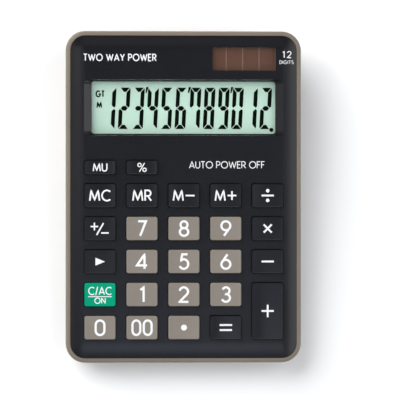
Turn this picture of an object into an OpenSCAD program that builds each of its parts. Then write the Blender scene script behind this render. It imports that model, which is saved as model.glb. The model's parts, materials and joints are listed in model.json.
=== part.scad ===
// Desk-top pocket calculator: a black keyboard casing let into a taupe tray casing, with
// 26 moving keys on a rubber dome mat, a glass display, a solar cell and a button cell.
// The origin is on the desk under the middle of the casing: +Z up, +Y towards the display.
// Sizes given "along the face" belong to the sloping face, and w counts up out of it.

/* [Casing] */
// Width of the tray casing over its rim
body_w = 103; // [98:0.5:130]
// Length of the tray casing along the face
body_l = 145; // [142:0.5:180]
// Slope of the face
tilt = 5.5; // [3:0.5:8]
// Height of the face above the desk at its front edge
front_h = 12.6; // [12.4:0.1:18]
// Radius of the tray casing's corners
corner_r = 8.5; // [6:0.5:14]
// Thickness of the tray casing's wall
wall = 2; // [1.6:0.1:2.4]
// Gap all round between the keyboard casing and the tray casing
case_gap = 0.15; // [0.1:0.05:0.3]
// Depth from the face to the top of the tray casing's rim
rim_drop = 0.9; // [0.8:0.1:1.4]
// Width of the rounding over the rim
rim_round_w = 1.5; // [1:0.1:1.6]
// Depth of the rounding over the rim
rim_round_d = 1.8; // [1.2:0.1:2.4]
// Depth from the face to the line where the sides start to slope in
chine_d = 5.6; // [5.2:0.1:6.5]
// How far each side slopes in by the time it reaches the base
base_inset = 3.2; // [2:0.1:5]
// Rounding under the base's edge
base_round = 1; // [0.5:0.1:1.5]
// Thickness of the tray casing's floor
floor_t = 2; // [1.8:0.1:2.6]

/* [Keyboard casing] */
// Thickness of the face plate
panel_t = 2; // [1.8:0.1:2.2]
// Width of the gentle crown along the face's edges
crown_w = 7; // [4:0.5:8]
// Depth of the gentle crown along the face's edges
crown_d = 0.8; // [0.4:0.1:0.8]
// Depth from the face to the bottom of the keyboard casing's skirt
skirt_d = 5; // [4:0.1:5.2]
// Thickness of the skirt
skirt_t = 1.2; // [1:0.1:1.4]

/* [Keys] */
// Width of every key
key_w = 13.5; // [10:0.1:14]
// Length of an ordinary key along the face
key_l = 10.2; // [8:0.1:10.4]
// Length of a key in the short rear row
short_key_l = 6; // [5:0.1:7]
// Gap between one column of keys and the next
key_gap_u = 4.8; // [4.4:0.1:6]
// Gap between one row of keys and the next
key_gap_v = 4.2; // [4:0.1:5]
// Distance from the casing's front edge to the middle of the front row
key_front = 15.5; // [15.4:0.1:17]
// Radius of a key's corners
key_r = 0.9; // [0.5:0.1:2]
// Height of a key's rim above the face
key_rise = 2.2; // [1.8:0.1:3]
// Depth of the finger dish across a key's top
dish_d = 0.35; // [0.1:0.05:0.6]
// Gap all round between a key and its opening
key_gap = 0.35; // [0.25:0.05:0.45]
// Width of the flange that keeps a key in the casing
flange_w = 0.8; // [0.6:0.1:0.9]
// Thickness of the flange
flange_t = 1; // [0.7:0.1:1.2]
// Wall and top thickness of a key
key_wall = 1.2; // [0.9:0.1:1.4]
// Diameter of the stem that presses the dome
stem_dia = 3.6; // [2.5:0.1:3.8]
// Length of the stem below the flange
stem_l = 1.1; // [0.8:0.1:1.5]
// Slack above the flange and below the stem
slack = 0.05; // [0.02:0.01:0.1]

/* [Dome mat and board] */
// Height of a dome above the mat's sheet
dome_h = 2.4; // [2:0.1:2.6]
// Diameter of a dome at its foot
dome_dia = 6.5; // [5.5:0.1:7]
// Diameter of a dome at its top
dome_top_dia = 4.6; // [4:0.1:5]
// Thickness of a dome's top and of its flanks
dome_wall = 0.7; // [0.5:0.1:0.9]
// Thickness of the mat's sheet
mat_t = 0.8; // [0.6:0.1:1]
// How far the mat reaches past the outer keys' middles
mat_margin = 4.4; // [4:0.1:4.6]
// Thickness of the circuit board
board_t = 1.2; // [0.8:0.1:1.6]
// How far the board reaches past the mat at the display's side
board_tail = 3.6; // [3:0.1:4]

/* [Display] */
// Width of the display opening
display_w = 80.4; // [70:0.1:84]
// Length of the display opening along the face
display_l = 22.8; // [18:0.1:24]
// Radius of the display opening's corners
display_r = 1.2; // [0.5:0.1:2]
// Distance from the casing's rear edge to the middle of the display
display_rear = 33.5; // [33:0.1:35]
// Depth of the sloping recess round the display opening
recess_d = 1.6; // [1:0.1:1.8]
// Width of the recess's slopes at the display's two ends
recess_end = 3.4; // [1:0.1:3.5]
// Width of the recess's slopes along the display's two long sides
recess_side = 0.9; // [0.5:0.1:1.2]
// Width of the flat ledge between the slopes and the opening
recess_ledge = 0.3; // [0.2:0.1:0.4]
// Thickness of the tray under the recess
recess_floor = 1; // [0.8:0.1:1.2]
// How far the window and the glass reach past the opening
glass_lap = 2; // [1.5:0.1:2.2]
// Thickness of the clear window
window_t = 1; // [0.8:0.1:1.2]
// Air between the window and the display glass
window_air = 0.3; // [0.2:0.1:0.5]
// Thickness of each display glass
glass_t = 0.7; // [0.5:0.1:0.8]
// Thickness of the polariser and of the reflector
film_t = 0.2; // [0.15:0.05:0.3]
// Width of the contact ledge that the front glass has and the rear glass hasn't
ledge_l = 2.2; // [1.5:0.1:2.5]
// Thickness of the display's retainer
retainer_t = 1.2; // [1:0.1:1.6]
// Width of the ribbon between display and board
ribbon_w = 62; // [50:1:66]
// Thickness of the ribbon
ribbon_t = 0.15; // [0.1:0.05:0.2]
// Gap between a held plate and the ribs round it
plate_gap = 0.2; // [0.1:0.05:0.3]
// Thickness of the ribs
rib_t = 1; // [0.8:0.1:1.2]

/* [Solar cell] */
// Width of the solar opening
solar_w = 27.6; // [24:0.1:34]
// Length of the solar opening along the face
solar_l = 10.1; // [8:0.1:10.4]
// Distance from the casing's rear edge to the middle of the solar cell
solar_rear = 12.2; // [12:0.1:13]
// Depth of the solar opening's edge
solar_edge = 0.8; // [0.5:0.1:0.9]
// How far the solar window reaches past its opening
solar_lap = 1; // [0.6:0.1:1]
// Thickness of the solar cell's glass
cell_glass_t = 1.1; // [0.9:0.1:1.2]

/* [Screws] */
// Shank diameter of a case screw
case_screw_dia = 2.2; // [2:0.1:2.6]
// Head diameter of a case screw
case_head_dia = 4.2; // [3.8:0.1:4.4]
// Head height of a case screw
case_head_h = 1.5; // [1.2:0.1:1.6]
// Shank length of a case screw
case_screw_l = 7; // [6:0.1:7.2]
// Length of the keyboard casing's case bosses, down from the face
case_boss_l = 7.8; // [7.4:0.1:8]
// Plastic between a case screw's head and the end of its post
seat_t = 2; // [1.6:0.1:2.2]
// Shank diameter of a small inner screw
inner_screw_dia = 1.6; // [1.4:0.1:1.8]
// Head diameter of a small inner screw
inner_head_dia = 3.4; // [3:0.1:3.6]
// Head height of a small inner screw
inner_head_h = 1; // [0.8:0.1:1.2]
// Shank length of a small inner screw
inner_screw_l = 5; // [4:0.1:5.2]
// Diameter of a small inner boss
inner_boss_dia = 3.2; // [3:0.1:3.4]
// Gap between a thread and the hole that it's cut in
thread_gap = 0.02; // [0.01:0.01:0.05]
// Gap between a screw and a hole that it only passes through
pass_gap = 0.25; // [0.15:0.05:0.3]
// Spare depth of a blind hole past its screw's tip
pilot_spare = 0.4; // [0.2:0.1:0.5]
// Distance from the casing's side to a front case screw
front_screw_side = 11.5; // [11:0.5:12]
// Distance from the casing's front edge to a front case screw
front_screw_end = 7.7; // [7.6:0.1:8]
// Distance from the casing's side to a rear case screw
rear_screw_side = 8; // [7.5:0.5:8.5]
// Distance from the casing's rear edge to a rear case screw
rear_screw_end = 11; // [10:0.5:12]
// Thickness of the boss that a case screw cuts its thread in
case_boss_wall = 0.9; // [0.8:0.1:1]
// Thickness of the post round a case screw's head
post_wall = 0.75; // [0.65:0.05:0.9]

/* [Button cell and its door] */
// Diameter of the button cell
cell_dia = 11.6; // [9.5:0.1:11.6]
// Height of the button cell
cell_h = 3.1; // [2.6:0.1:3.6]
// Gap all round the button cell
cell_gap = 0.3; // [0.2:0.05:0.5]
// Distance from the casing's rear edge to the button cell's middle
cell_rear = 32; // [30:0.5:40]
// Width of the battery door
door_w = 28; // [24:0.5:34]
// Thickness of the battery door
door_t = 1.6; // [1.4:0.1:1.8]
// Distance from the button cell's middle to the door's front end
door_front = 16; // [14:0.5:20]
// Gap round the battery door
door_gap = 0.12; // [0.08:0.02:0.2]
// Thickness of the block over the battery door
well_roof = 1.5; // [1.2:0.1:1.8]
// Gap between the button cell and the door
cell_lift = 0.2; // [0.1:0.05:0.3]
// Room over the button cell for its contact
cell_headroom = 0.9; // [0.8:0.1:1]
// Wall thickness of the cup round the button cell
cup_wall = 1.6; // [1.2:0.1:1.8]
// Roof thickness of the cup round the button cell
cup_roof = 1.2; // [1:0.1:1.4]
// Width of the tongues along the door's two sides
tongue_w = 0.9; // [0.6:0.1:1.2]
// Thickness of the tongues
tongue_t = 0.8; // [0.6:0.1:0.9]
// Width of a battery contact
contact_w = 4; // [3:0.1:4.6]
// Thickness of a battery contact
contact_t = 0.3; // [0.2:0.05:0.4]
// Gap between the cup and the contact that stands beside it
contact_stand_off = 0.7; // [0.5:0.1:0.9]
// How far a contact's solder tail reaches past the cup
contact_tail = 1; // [0.8:0.1:1.4]
// Number of grip grooves in the door
grip_count = 5; // [3:1:6]
// Pitch of the grip grooves
grip_pitch = 2.4; // [2:0.1:2.6]
// Depth of the grip grooves
grip_d = 0.5; // [0.3:0.1:0.6]
// Distance from the button cell's middle to the first grip groove
grip_start = 9; // [8:0.5:10]

/* [Leads] */
// Diameter of a lead over its insulation
lead_dia = 1; // [0.8:0.1:1.2]
// How straight a lead leaves its joint
lead_run = 4; // [3:0.5:6]
// Distance from the board's rear edge to the leads' joints on it
lead_joint_in = 3; // [2:0.5:3.5]
// Distance from the middle to a battery lead's joint on the board
lead_joint_u = 12; // [10:0.5:14]
// How far behind the retainer's screws the solar leads swing
lead_hang = 6; // [5:0.5:7]

/* [Feet] */
// Diameter of a foot
foot_dia = 9; // [7:0.5:11]
// Height of the base above the desk
foot_h = 1.2; // [1:0.1:1.6]
// Depth of a foot's seat in the base
foot_seat = 0.8; // [0.5:0.1:1]
// Distance from the casing's side to a foot's middle
foot_side = 15.5; // [13:0.5:18]
// Distance from the casing's front or rear edge to a foot's middle
foot_end = 17; // [16:0.5:20]
// Gap round a foot in its seat
foot_gap = 0.1; // [0.05:0.05:0.2]

/* [Hidden] */
$fn = 48;
over = 1;
thin = 0.05;
arc_step = 15;
crown_steps = 6;
lead_sides = 8;
lead_rings = 14;
// How far two shapes that are one piece run into each other
weld = 0.5;
// Smallest radius of a drawn-in layer
least_r = 0.5;

// Every key: its name, its column from the left and its row from the front.
keys = [
    ["0", 0, 0], ["00", 1, 0], ["point", 2, 0], ["equals", 3, 0], ["plus", 4, 0.5],
    ["clear", 0, 1], ["1", 1, 1], ["2", 2, 1], ["3", 3, 1],
    ["backspace", 0, 2], ["4", 1, 2], ["5", 2, 2], ["6", 3, 2], ["minus", 4, 2],
    ["sign", 0, 3], ["7", 1, 3], ["8", 2, 3], ["9", 3, 3], ["multiply", 4, 3],
    ["mc", 0, 4], ["mr", 1, 4], ["m_minus", 2, 4], ["m_plus", 3, 4], ["divide", 4, 4],
    ["mu", 0, 5], ["percent", 1, 5]
];
number_keys = ["0", "00", "point", "1", "2", "3", "4", "5", "6", "7", "8", "9"];
columns = 5;
short_row = 5;

// Casing outlines, along the face
half_w = body_w / 2;
half_l = body_l / 2;
panel_w = body_w - 2 * (wall + case_gap);
panel_l = body_l - 2 * (wall + case_gap);
panel_r = corner_r - wall - case_gap;
widest_w = -(rim_drop + rim_round_d);
// The face's middle: its widest line is centred over the origin
face_y = widest_w * sin(tilt);
face_z = front_h + half_l * sin(tilt);
base_z = foot_h;
floor_z = base_z + floor_t;
base_half_l = half_l * cos(tilt) - base_inset;
base_half_w = half_w - base_inset;

// Heights in the key stack, counted up out of the face
flange_top = -(panel_t + slack);
flange_bottom = flange_top - flange_t;
stem_bottom = flange_bottom - stem_l;
dome_top = stem_bottom - slack;
mat_top = dome_top - dome_h;
board_top = mat_top - mat_t;
board_bottom = board_top - board_t;

// Heights in the display stack
window_front = -(recess_d + recess_floor);
polariser_front = window_front - window_t - window_air;
front_glass_front = polariser_front - film_t;
rear_glass_front = front_glass_front - glass_t;
reflector_front = rear_glass_front - glass_t;
retainer_front = reflector_front - film_t - slack;
display_v = half_l - display_rear;
glass_w = display_w + 2 * glass_lap;
glass_l = display_l + 2 * glass_lap;
glass_front_v = display_v - glass_l / 2;
ear_u = glass_w / 2 + plate_gap + rib_t / 2 + inner_boss_dia / 2;
ear_v = glass_l / 4;

// Solar stack
solar_u = (display_w - solar_w) / 2;
solar_v = half_l - solar_rear;
solar_plate_w = solar_w + 2 * solar_lap;
solar_plate_l = solar_l + 2 * solar_lap;
cell_front = -(solar_edge + window_t + slack);
solar_pad_u = solar_w / 3;

// Keyboard grid
pitch_u = key_w + key_gap_u;
pitch_v = key_l + key_gap_v;
tall_key_l = 2 * key_l + key_gap_v;
mat_front_v = row_v(0) - mat_margin;
mat_rear_v = row_v(short_row) + mat_margin;
mat_half_w = 2 * pitch_u + mat_margin;
board_rear_v = mat_rear_v + board_tail;
inner_pilot = inner_screw_l - board_t + pilot_spare;

// Case screws and feet, on the base
case_screws_at = [
    for (x = [-1, 1]) [x * (half_w - front_screw_side), front_screw_end - half_l],
    for (x = [-1, 1]) [x * (half_w - rear_screw_side), half_l - rear_screw_end]
];
case_boss_dia = case_screw_dia + 2 * case_boss_wall;
post_dia = case_head_dia + 2 * (pass_gap + post_wall);
foot_x = half_w - foot_side;
foot_y = half_l - foot_end;

// Button cell and door
cell_y = half_l - cell_rear;
door_top = base_z + door_t;
well_top = door_top + door_gap + well_roof;
cell_bottom = door_top + cell_lift;
cell_top = cell_bottom + cell_h;
cup_r = cell_dia / 2 + cell_gap;
cup_top = cell_top + cell_headroom;
cup_outer_r = cup_r + cup_wall;
door_front_y = cell_y - door_front;
contact_slot_w = contact_w + 2 * plate_gap;
positive_x = cup_outer_r + contact_stand_off;
positive_top = cup_top + cup_roof + contact_tail;
cap_slot_front = 2.5;
cap_slot_rear = 4.5;
negative_tail = cap_slot_rear + 2.5;
negative_z = cup_top + cup_roof + contact_t / 2 + slack;

function row_v(row) =
    -half_l + key_front + min(row, short_row - 1) * pitch_v
    + (row == short_row ? (key_l + short_key_l) / 2 + key_gap_v : 0);
function key_u(k) = (k[1] - (columns - 1) / 2) * pitch_u;
function key_v(k) = row_v(k[2]);
function key_length(k) =
    k[2] == short_row ? short_key_l : k[0] == "plus" ? tall_key_l : key_l;
function key_color(k) =
    k[0] == "clear" ? [0.05, 0.65, 0.52]
    : is_number_key(k) ? [0.55, 0.52, 0.48]
    : [0.16, 0.16, 0.18];
function is_number_key(k) = len([for (n = number_keys) if (n == k[0]) n]) > 0;
// Where the board's bosses stand: in the crossings between the keys
function board_bosses() = [
    for (at = [[-1.5, 0], [0.5, 0], [-1.5, 2], [1.5, 2], [-1.5, 4], [1.5, 4]])
        [at[0] * pitch_u, row_v(at[1]) + pitch_v / 2]
];
function face_height(y) = face_z + (y - face_y) * tan(tilt);
function face_point(u, v, w) = [
    u, face_y + v * cos(tilt) - w * sin(tilt), face_z + v * sin(tilt) + w * cos(tilt)
];

// Puts children on the sloping face: X stays, Y runs up the slope, Z stands out of it.
module on_face() {
    translate([0, face_y, face_z])
        rotate([tilt, 0, 0])
            children();
}

module rounded_rect(w, l, r) {
    square([w - 2 * r, l], center = true);
    square([w, l - 2 * r], center = true);
    for (x = [-1, 1], y = [-1, 1])
        translate([x * (w / 2 - r), y * (l / 2 - r)])
            circle(r);
}

module slab(w, l, r, bottom, top) {
    translate([0, 0, bottom])
        linear_extrude(top - bottom)
            rounded_rect(w, l, r);
}

// One thin layer of a rounded body, drawn in by an inset
module layer(w, l, r, inset, height) {
    inner_r = max(r - inset, least_r);
    slab(w - 2 * inset, l - 2 * inset, inner_r, height - thin, height, $fn = 32);
}

function run_normal(a, b) = [a[1] - b[1], b[0] - a[0]] / norm(b - a);
// How far a strip's edge lies from its middle line at one bend, for a thickness of 2
function mitre(p, i) =
    i == 0 ? run_normal(p[0], p[1])
    : i == len(p) - 1 ? run_normal(p[i - 1], p[i])
    : let (n = run_normal(p[i - 1], p[i]) + run_normal(p[i], p[i + 1])) n * 2 / (n * n);

// A strip of metal or film, bent in a plane along a line of points
module bent_strip(p, thickness, width) {
    translate([0, 0, -width / 2])
        linear_extrude(width)
            polygon(concat(
                [for (i = [0 : len(p) - 1]) p[i] + thickness / 2 * mitre(p, i)],
                [for (i = [len(p) - 1 : -1 : 0]) p[i] - thickness / 2 * mitre(p, i)]
            ));
}

// A point on the smooth curve that a springy lead takes between its two joints
function curve_point(p, t) =
    pow(1 - t, 3) * p[0] + 3 * t * pow(1 - t, 2) * p[1]
    + 3 * t * t * (1 - t) * p[2] + pow(t, 3) * p[3];
function curve_run(p, t) =
    3 * pow(1 - t, 2) * (p[1] - p[0]) + 6 * t * (1 - t) * (p[2] - p[1])
    + 3 * t * t * (p[3] - p[2]);

// A round lead: p holds its two ends, with the two points that it bends towards between
module lead(p) {
    rings = [for (i = [0 : lead_rings]) i / lead_rings];
    points = [
        for (t = rings) let (
            run = curve_run(p, t),
            side = cross(run, [1, 0, 0]) / norm(cross(run, [1, 0, 0])),
            up = cross(side, run) / norm(run)
        )
        for (j = [0 : lead_sides - 1])
            curve_point(p, t) + lead_dia / 2
                * (cos(j * 360 / lead_sides) * side + sin(j * 360 / lead_sides) * up)
    ];
    ends = [
        [for (j = [0 : lead_sides - 1]) j],
        [for (j = [lead_sides - 1 : -1 : 0]) lead_rings * lead_sides + j]
    ];
    sides = [
        for (i = [0 : lead_rings - 1], j = [0 : lead_sides - 1]) let (
            next = (j + 1) % lead_sides
        ) [
            i * lead_sides + j, (i + 1) * lead_sides + j,
            (i + 1) * lead_sides + next, i * lead_sides + next
        ]
    ];
    polyhedron(points = points, faces = concat(ends, sides), convexity = 4);
}

// The tray casing's outside: rounded rim, straight band, then sides sloping in to the base
module tray_outside() {
    hull() {
        on_face() {
            for (a = [0 : arc_step : 90 - arc_step])
                layer(
                    body_w, body_l, corner_r,
                    rim_round_w * (1 - sin(a)),
                    -rim_drop - rim_round_d * (1 - cos(a))
                );
            slab(body_w, body_l, corner_r, -chine_d, widest_w - thin, $fn = 32);
        }
        base_layer(0, base_z + base_round);
        base_layer(base_round, base_z + thin);
    }
}

// A level layer near the base, drawn in from the base's outline
module base_layer(inset, height) {
    layer(2 * base_half_w, 2 * base_half_l, corner_r, inset, height);
}

module tray_inside() {
    hull() {
        on_face()
            slab(
                body_w - 2 * wall, body_l - 2 * wall, corner_r - wall, -chine_d, over,
                $fn = 32
            );
        base_layer(wall, floor_z + thin);
    }
}

// The keyboard casing's outside: a face that crowns down gently along its edges
module panel_outside() {
    hull() {
        for (i = [0 : crown_steps - 1])
            layer(
                panel_w, panel_l, panel_r,
                crown_w * (1 - i / crown_steps), -crown_d * pow(i / crown_steps, 2)
            );
        slab(panel_w, panel_l, panel_r, -skirt_d, -crown_d, $fn = 32);
    }
}

module display_recess() {
    outer_w = display_w + 2 * recess_end;
    outer_l = display_l + 2 * recess_side;
    translate([0, display_v, 0])
        hull() {
            slab(outer_w, outer_l, display_r + recess_side, 0, over, $fn = 32);
            layer(
                display_w + 2 * recess_ledge, display_l + 2 * recess_ledge,
                display_r + recess_ledge, 0, -recess_d + thin
            );
        }
}

// A rib that runs all round a plate
module plate_rib(w, l, bottom, top) {
    inner_w = w + 2 * plate_gap;
    inner_l = l + 2 * plate_gap;
    difference() {
        slab(inner_w + 2 * rib_t, inner_l + 2 * rib_t, rib_t, bottom, top);
        slab(inner_w, inner_l, rib_t / 2, bottom - over, top + over);
    }
}

module inner_boss(end) {
    translate([0, 0, end])
        cylinder(h = -panel_t / 2 - end, d = inner_boss_dia);
}

module inner_pilot(end) {
    translate([0, 0, end - over])
        cylinder(h = over + inner_pilot, d = inner_screw_dia + 2 * thread_gap);
}

module retainer_ears() {
    for (x = [-1, 1], y = [-1, 1])
        translate([x * ear_u, display_v + y * ear_v, 0])
            children();
}

module upper_casing() {
    recess_w = display_w + 2 * recess_end + 2 * rib_t;
    recess_l = display_l + 2 * recess_side + 2 * rib_t;
    color([0.14, 0.14, 0.16])
        difference() {
            union() {
                on_face()
                    difference() {
                        panel_outside();
                        slab(
                            panel_w - 2 * skirt_t, panel_l - 2 * skirt_t,
                            panel_r - skirt_t, -skirt_d - over, -panel_t
                        );
                    }
                on_face() {
                    translate([0, display_v, 0]) {
                        slab(recess_w, recess_l, display_r, window_front, -panel_t / 2);
                        plate_rib(glass_w, glass_l, reflector_front, -panel_t / 2);
                    }
                    translate([solar_u, solar_v, 0])
                        plate_rib(
                            solar_plate_w, solar_plate_l, cell_front - cell_glass_t,
                            -panel_t / 2
                        );
                    for (at = board_bosses())
                        translate(at)
                            inner_boss(board_top);
                    retainer_ears()
                        inner_boss(retainer_front);
                }
                for (at = case_screws_at)
                    translate([at[0], at[1], face_height(at[1]) - case_boss_l])
                        cylinder(h = case_boss_l - panel_t / 2, d = case_boss_dia);
            }
            on_face() {
                for (k = keys)
                    translate([key_u(k), key_v(k), 0])
                        slab(
                            key_w + 2 * key_gap, key_length(k) + 2 * key_gap,
                            key_r + key_gap, -panel_t - over, over
                        );
                display_recess();
                translate([0, display_v, 0]) {
                    slab(display_w, display_l, display_r, window_front - over, over);
                    // The window lies in the tray's back, inside the ribs
                    slab(
                        glass_w + 2 * plate_gap, glass_l + 2 * plate_gap, rib_t / 2,
                        reflector_front - over, window_front
                    );
                    // The ribbon leaves through the front rib
                    translate([-ribbon_w / 2 - rib_t, -glass_l / 2 - 2 * rib_t, 0])
                        translate([0, 0, reflector_front - over])
                            cube([
                                ribbon_w + 2 * rib_t, 3 * rib_t,
                                front_glass_front - reflector_front + over
                            ]);
                }
                translate([solar_u, solar_v, 0]) {
                    slab(solar_w, solar_l, key_r / 2, -panel_t - over, over);
                    slab(
                        solar_plate_w + 2 * plate_gap, solar_plate_l + 2 * plate_gap,
                        key_r / 2, -panel_t - over, -solar_edge
                    );
                }
                for (at = board_bosses())
                    translate(at)
                        inner_pilot(board_top);
                retainer_ears()
                    inner_pilot(retainer_front);
            }
            for (at = case_screws_at)
                translate([at[0], at[1], face_height(at[1]) - case_boss_l - over])
                    cylinder(
                        h = over + case_screw_l - seat_t + slack + pilot_spare,
                        d = case_screw_dia + 2 * thread_gap
                    );
        }
}

// The block and cup that hold the button cell, before their hollows are cut
module cell_holder() {
    well_w = door_w + 2 * (door_gap + tongue_w + wall);
    well_front = door_front_y - door_gap - wall;
    translate([-well_w / 2, well_front, floor_z - floor_t / 2])
        cube([
            well_w, base_half_l - wall / 2 - well_front,
            well_top - floor_z + floor_t / 2
        ]);
    translate([0, cell_y, well_top - weld])
        cylinder(h = cup_top + cup_roof - well_top + weld, r = cup_outer_r);
}

module door_hollow() {
    far = half_l + over - door_front_y + door_gap;
    half = door_w / 2 + door_gap;
    translate([-half, door_front_y - door_gap, base_z - over])
        cube([2 * half, far, over + door_t + door_gap]);
    translate([-half - tongue_w, door_front_y - door_gap, door_top - tongue_t - door_gap])
        cube([2 * (half + tongue_w), far, tongue_t + 2 * door_gap]);
    translate([0, cell_y, door_top])
        cylinder(h = cup_top - door_top, r = cup_r);
    // Slots for the two contacts
    translate([0, cell_y - contact_slot_w / 2, well_top + slack])
        cube([cup_outer_r + over, contact_slot_w, cell_top - well_top]);
    translate([-contact_slot_w / 2, cell_y - cap_slot_front, cup_top - over])
        cube([contact_slot_w, cap_slot_front + cap_slot_rear, cup_roof + 2 * over]);
}

module lower_casing() {
    color([0.5, 0.46, 0.42])
        difference() {
            union() {
                difference() {
                    tray_outside();
                    tray_inside();
                }
                cell_holder();
                for (at = case_screws_at)
                    translate([at[0], at[1], base_z + floor_t / 2])
                        cylinder(
                            h = face_height(at[1]) - case_boss_l - slack - base_z
                                - floor_t / 2,
                            d = post_dia
                        );
            }
            for (at = case_screws_at) {
                seat_z = face_height(at[1]) - case_boss_l - slack - seat_t;
                translate([at[0], at[1], base_z - over])
                    cylinder(h = seat_z - base_z + over, d = case_head_dia + 2 * pass_gap);
                translate([at[0], at[1], base_z])
                    cylinder(h = seat_z + seat_t, d = case_screw_dia + 2 * pass_gap);
            }
            for (x = [-1, 1], y = [-1, 1])
                translate([x * foot_x, y * foot_y, base_z - over])
                    cylinder(h = over + foot_seat, d = foot_dia + 2 * foot_gap);
            door_hollow();
        }
}

module key_button(k) {
    w = key_w;
    l = key_length(k);
    dish_radius = (w * w / 4 + dish_d * dish_d) / (2 * dish_d);
    color(key_color(k))
        on_face()
            translate([key_u(k), key_v(k), 0])
                difference() {
                    union() {
                        difference() {
                            union() {
                                slab(w, l, key_r, flange_bottom, key_rise);
                                slab(
                                    w + 2 * flange_w, l + 2 * flange_w, key_r,
                                    flange_bottom, flange_top
                                );
                            }
                            slab(
                                w - 2 * key_wall, l - 2 * key_wall, key_r / 2,
                                flange_bottom - over, key_rise - dish_d - key_wall
                            );
                        }
                        translate([0, 0, stem_bottom])
                            cylinder(
                                h = key_rise - dish_d - key_wall / 2 - stem_bottom,
                                d = stem_dia
                            );
                    }
                    translate([0, 0, key_rise - dish_d + dish_radius])
                        rotate([90, 0, 0])
                            cylinder(h = l + 2 * over, r = dish_radius, center = true, $fn = 360);
                }
}

module display_window() {
    color([0.85, 0.95, 0.9, 0.4])
        on_face()
            translate([0, display_v, 0])
                slab(glass_w, glass_l, rib_t / 2, window_front - window_t, window_front);
}

module lcd_front_polariser() {
    color([0.7, 0.8, 0.75, 0.6])
        on_face()
            translate([0, display_v, 0])
                slab(
                    glass_w - rib_t, glass_l - rib_t, rib_t / 2,
                    front_glass_front, polariser_front
                );
}

module lcd_front_glass() {
    color([0.8, 0.9, 0.85, 0.5])
        on_face()
            translate([0, display_v, 0])
                slab(glass_w, glass_l, rib_t / 2, rear_glass_front, front_glass_front);
}

module lcd_rear_glass() {
    color([0.75, 0.88, 0.82, 0.5])
        on_face()
            translate([0, display_v + ledge_l / 2, 0])
                slab(glass_w, glass_l - ledge_l, rib_t / 2, reflector_front, rear_glass_front);
}

module lcd_reflector() {
    color([0.74, 0.86, 0.8])
        on_face()
            translate([0, display_v + ledge_l / 2, 0])
                slab(
                    glass_w - rib_t, glass_l - ledge_l - rib_t, rib_t / 2,
                    reflector_front - film_t, reflector_front
                );
}

// A frame with two windows, screwed down behind the glass by its four ears
module lcd_retainer() {
    bottom = retainer_front - retainer_t;
    bar = 5;
    color([0.22, 0.22, 0.24])
        on_face()
            difference() {
                union() {
                    translate([0, display_v, 0])
                        slab(glass_w, glass_l, rib_t / 2, bottom, retainer_front);
                    for (y = [-1, 1])
                        translate([0, display_v + y * ear_v, 0])
                            slab(
                                2 * ear_u + inner_head_dia, inner_head_dia,
                                inner_head_dia / 2 - thin, bottom, retainer_front
                            );
                }
                for (x = [-1, 1])
                    translate([x * (glass_w + bar) / 4 - x * bar / 4, display_v, 0])
                        slab(
                            glass_w / 2 - 1.5 * bar, glass_l - 2 * bar, rib_t,
                            bottom - over, retainer_front + over
                        );
                retainer_ears()
                    translate([0, 0, bottom - over])
                        cylinder(h = retainer_t + 2 * over, d = inner_screw_dia + 2 * pass_gap);
            }
}

// The heat-sealed ribbon from the front glass's ledge down to the board
module lcd_ribbon() {
    glass_side = rear_glass_front - ribbon_t / 2;
    board_side = board_top + ribbon_t / 2;
    margin = 0.4;
    color([0.75, 0.55, 0.2])
        on_face()
            rotate([90, 0, 90])
                bent_strip(
                    [
                        [glass_front_v + ledge_l - margin, glass_side],
                        [glass_front_v - rib_t, glass_side],
                        [board_rear_v + margin, board_side],
                        [mat_rear_v + margin, board_side]
                    ],
                    ribbon_t, ribbon_w
                );
}

module solar_window() {
    color([0.6, 0.5, 0.45, 0.5])
        on_face()
            translate([solar_u, solar_v, 0])
                slab(
                    solar_plate_w, solar_plate_l, key_r / 2,
                    -solar_edge - window_t, -solar_edge
                );
}

module solar_cell() {
    color([0.38, 0.28, 0.24])
        on_face()
            translate([solar_u, solar_v, 0])
                slab(
                    solar_plate_w, solar_plate_l, key_r / 2,
                    cell_front - cell_glass_t, cell_front
                );
}

// Two leads from the solar cell's back, behind the display, to the board's underside
module solar_leads() {
    back = cell_front - cell_glass_t;
    behind = retainer_front - retainer_t - inner_head_h - lead_hang;
    joint_v = board_rear_v - lead_joint_in;
    for (x = [-1, 1]) {
        u = solar_u + x * solar_pad_u / 2;
        color(x > 0 ? [0.75, 0.12, 0.1] : [0.1, 0.1, 0.1])
            on_face()
                lead([
                    [u, solar_v, back - thin],
                    [u, solar_v, behind],
                    [u, joint_v, behind],
                    [u, joint_v, board_bottom - thin]
                ]);
    }
}

// One sheet of silicone rubber with a hollow dome under each key
module key_mat() {
    sheet_w = 2 * mat_half_w;
    sheet_l = mat_rear_v - mat_front_v;
    hollow_dia = dome_dia - 2 * dome_wall;
    color([0.75, 0.75, 0.72])
        on_face()
            difference() {
                union() {
                    translate([0, mat_front_v + sheet_l / 2, 0])
                        slab(sheet_w, sheet_l, rib_t, board_top, mat_top);
                    for (k = keys)
                        translate([key_u(k), key_v(k), mat_top])
                            cylinder(h = dome_h, d1 = dome_dia, d2 = dome_top_dia);
                }
                for (k = keys)
                    translate([key_u(k), key_v(k), board_top - over])
                        cylinder(h = over + mat_t, d = hollow_dia);
                for (k = keys)
                    translate([key_u(k), key_v(k), mat_top - thin])
                        cylinder(
                            h = dome_h - dome_wall, d1 = hollow_dia,
                            d2 = dome_top_dia - 2 * dome_wall
                        );
                for (at = board_bosses())
                    translate([at[0], at[1], board_top - over])
                        cylinder(h = mat_t + 2 * over, d = inner_boss_dia + 2 * pass_gap);
            }
}

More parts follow.
